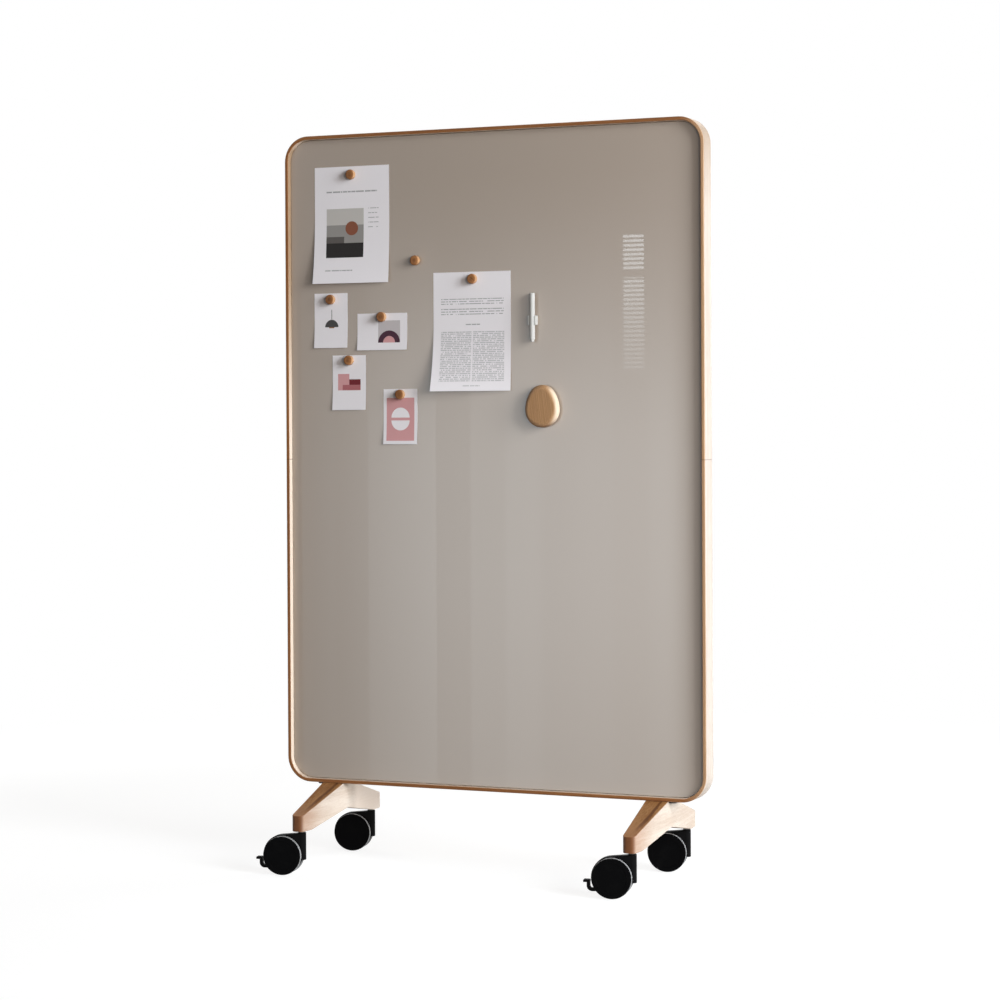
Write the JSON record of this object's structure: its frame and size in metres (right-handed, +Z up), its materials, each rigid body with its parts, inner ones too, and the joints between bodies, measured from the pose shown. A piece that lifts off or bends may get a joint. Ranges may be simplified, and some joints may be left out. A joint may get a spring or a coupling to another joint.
{
  "type": "mobile glass whiteboard",
  "caption": "Tall double-sided glass whiteboard in a rounded bent-wood frame, on arched wooden feet with braked twin-wheel casters, with button magnets, eraser, marker and pinned sheets.",
  "frame": {"origin": "on the floor under the centre of the board", "axes": "+Z up; the front with the pinned sheets faces -Y; +X to the right seen from the front"},
  "size_m": [1.13, 0.4608, 1.8559],
  "materials": {
    "frame_wood": "matt oiled, bent along the grain",
    "foot_wood": "matt oiled with a dark streak of heartwood",
    "accessory_wood": "matt oiled, turned or sanded round",
    "core_board": "raw fibreboard",
    "painted_glass": "clear glass, back-painted warm grey",
    "zinc_steel": "zinc plated",
    "black_steel": "black powder coat",
    "chrome": "polished",
    "black_plastic": "fine moulded grain",
    "wheel_plastic": "satin",
    "grey_tread": "soft matt",
    "white_plastic": "satin gloss",
    "paper": "uncoated, printed grey",
    "felt": "pressed wool felt"
  },
  "bodies": {
    "board": {"frame_upper": "frame_wood", "frame_lower": "frame_wood", "frame_dowels": "frame_wood", "core_panel": "core_board", "steel_sheets": "zinc_steel", "glass_front": "painted_glass", "glass_rear": "painted_glass", "foot_left": "foot_wood", "foot_right": "foot_wood", "foot_plate_left": "black_steel", "foot_plate_right": "black_steel", "foot_bolts": "black_steel", "plate_screws": "zinc_steel", "stem_inserts": "zinc_steel", "caster_washers": "black_plastic", "caster_stems": "chrome", "paper_sheets": "paper", "paper_cards": "paper"},
    "caster_front_left": {"caster_body_front_left": "black_plastic", "caster_axle_front_left": "zinc_steel"},
    "wheel_a_front_left": {"wheel_hub_a_front_left": "wheel_plastic", "wheel_tread_a_front_left": "grey_tread"},
    "wheel_b_front_left": {"wheel_hub_b_front_left": "wheel_plastic", "wheel_tread_b_front_left": "grey_tread"},
    "brake_front_left": {"brake_lever_front_left": "black_plastic"},
    "caster_front_right": {"caster_body_front_right": "black_plastic", "caster_axle_front_right": "zinc_steel"},
    "wheel_a_front_right": {"wheel_hub_a_front_right": "wheel_plastic", "wheel_tread_a_front_right": "grey_tread"},
    "wheel_b_front_right": {"wheel_hub_b_front_right": "wheel_plastic", "wheel_tread_b_front_right": "grey_tread"},
    "brake_front_right": {"brake_lever_front_right": "black_plastic"},
    "caster_rear_left": {"caster_body_rear_left": "black_plastic", "caster_axle_rear_left": "zinc_steel"},
    "wheel_a_rear_left": {"wheel_hub_a_rear_left": "wheel_plastic", "wheel_tread_a_rear_left": "grey_tread"},
    "wheel_b_rear_left": {"wheel_hub_b_rear_left": "wheel_plastic", "wheel_tread_b_rear_left": "grey_tread"},
    "caster_rear_right": {"caster_body_rear_right": "black_plastic", "caster_axle_rear_right": "zinc_steel"},
    "wheel_a_rear_right": {"wheel_hub_a_rear_right": "wheel_plastic", "wheel_tread_a_rear_right": "grey_tread"},
    "wheel_b_rear_right": {"wheel_hub_b_rear_right": "wheel_plastic", "wheel_tread_b_rear_right": "grey_tread"},
    "button_1": {"button_magnet_1": "accessory_wood"},
    "button_2": {"button_magnet_2": "accessory_wood"},
    "button_3": {"button_magnet_3": "accessory_wood"},
    "button_4": {"button_magnet_4": "accessory_wood"},
    "button_5": {"button_magnet_5": "accessory_wood"},
    "button_6": {"button_magnet_6": "accessory_wood"},
    "button_7": {"button_magnet_7": "accessory_wood"},
    "eraser": {"eraser_block": "accessory_wood", "eraser_felt": "felt", "eraser_magnets": "zinc_steel"},
    "clip": {"marker_clip": "white_plastic", "clip_magnet": "zinc_steel"},
    "marker": {"marker_barrel": "white_plastic", "marker_nib": "felt"},
    "cap": {"marker_cap": "white_plastic"}
  },
  "joints": [
    {"name": "swivel_front_left", "type": "hinge", "parent": "board", "child": "caster_front_left", "pos_m": [-0.4375, -0.196, 0.1053], "axis": [0, 0, 1], "continuous": true},
    {"name": "spin_a_front_left", "type": "hinge", "parent": "caster_front_left", "child": "wheel_a_front_left", "pos_m": [-0.48364, -0.20497, 0.0485], "axis": [0.1908, -0.9816, 0], "continuous": true},
    {"name": "spin_b_front_left", "type": "hinge", "parent": "caster_front_left", "child": "wheel_b_front_left", "pos_m": [-0.48364, -0.20497, 0.0485], "axis": [0.1908, -0.9816, 0], "continuous": true},
    {"name": "brake_press_left", "type": "hinge", "parent": "caster_front_left", "child": "brake_front_left", "pos_m": [-0.49738, -0.20764, 0.019], "axis": [0.1908, -0.9816, 0], "range_deg": [0, 18]},
    {"name": "swivel_front_right", "type": "hinge", "parent": "board", "child": "caster_front_right", "pos_m": [0.4375, -0.196, 0.1053], "axis": [0, 0, 1], "continuous": true},
    {"name": "spin_a_front_right", "type": "hinge", "parent": "caster_front_right", "child": "wheel_a_front_right", "pos_m": [0.39136, -0.20497, 0.0485], "axis": [0.1908, -0.9816, 0], "continuous": true},
    {"name": "spin_b_front_right", "type": "hinge", "parent": "caster_front_right", "child": "wheel_b_front_right", "pos_m": [0.39136, -0.20497, 0.0485], "axis": [0.1908, -0.9816, 0], "continuous": true},
    {"name": "brake_press_right", "type": "hinge", "parent": "caster_front_right", "child": "brake_front_right", "pos_m": [0.37762, -0.20764, 0.019], "axis": [0.1908, -0.9816, 0], "range_deg": [0, 18]},
    {"name": "swivel_rear_left", "type": "hinge", "parent": "board", "child": "caster_rear_left", "pos_m": [-0.4375, 0.196, 0.1053], "axis": [0, 0, 1], "continuous": true},
    {"name": "spin_a_rear_left", "type": "hinge", "parent": "caster_rear_left", "child": "wheel_a_rear_left", "pos_m": [-0.48364, 0.18703, 0.0485], "axis": [0.1908, -0.9816, 0], "continuous": true},
    {"name": "spin_b_rear_left", "type": "hinge", "parent": "caster_rear_left", "child": "wheel_b_rear_left", "pos_m": [-0.48364, 0.18703, 0.0485], "axis": [0.1908, -0.9816, 0], "continuous": true},
    {"name": "swivel_rear_right", "type": "hinge", "parent": "board", "child": "caster_rear_right", "pos_m": [0.4375, 0.196, 0.1053], "axis": [0, 0, 1], "continuous": true},
    {"name": "spin_a_rear_right", "type": "hinge", "parent": "caster_rear_right", "child": "wheel_a_rear_right", "pos_m": [0.39136, 0.18703, 0.0485], "axis": [0.1908, -0.9816, 0], "continuous": true},
    {"name": "spin_b_rear_right", "type": "hinge", "parent": "caster_rear_right", "child": "wheel_b_rear_right", "pos_m": [0.39136, 0.18703, 0.0485], "axis": [0.1908, -0.9816, 0], "continuous": true},
    {"name": "button_1_pull", "type": "slide", "parent": "board", "child": "button_1", "axis": [0, -1, 0], "range_m": [0, 0.1]},
    {"name": "button_2_pull", "type": "slide", "parent": "board", "child": "button_2", "axis": [0, -1, 0], "range_m": [0, 0.1]},
    {"name": "button_3_pull", "type": "slide", "parent": "board", "child": "button_3", "axis": [0, -1, 0], "range_m": [0, 0.1]},
    {"name": "button_4_pull", "type": "slide", "parent": "board", "child": "button_4", "axis": [0, -1, 0], "range_m": [0, 0.1]},
    {"name": "button_5_pull", "type": "slide", "parent": "board", "child": "button_5", "axis": [0, -1, 0], "range_m": [0, 0.1]},
    {"name": "button_6_pull", "type": "slide", "parent": "board", "child": "button_6", "axis": [0, -1, 0], "range_m": [0, 0.1]},
    {"name": "button_7_pull", "type": "slide", "parent": "board", "child": "button_7", "axis": [0, -1, 0], "range_m": [0, 0.1]},
    {"name": "eraser_pull", "type": "slide", "parent": "board", "child": "eraser", "axis": [0, -1, 0], "range_m": [0, 0.15]},
    {"name": "clip_pull", "type": "slide", "parent": "board", "child": "clip", "axis": [0, -1, 0], "range_m": [0, 0.1]},
    {"name": "marker_lift", "type": "slide", "parent": "clip", "child": "marker", "axis": [0, 0, 1], "range_m": [0, 0.1]},
    {"name": "cap_pull", "type": "slide", "parent": "marker", "child": "cap", "axis": [0, 0, 1], "range_m": [0, 0.05]}
  ]
}
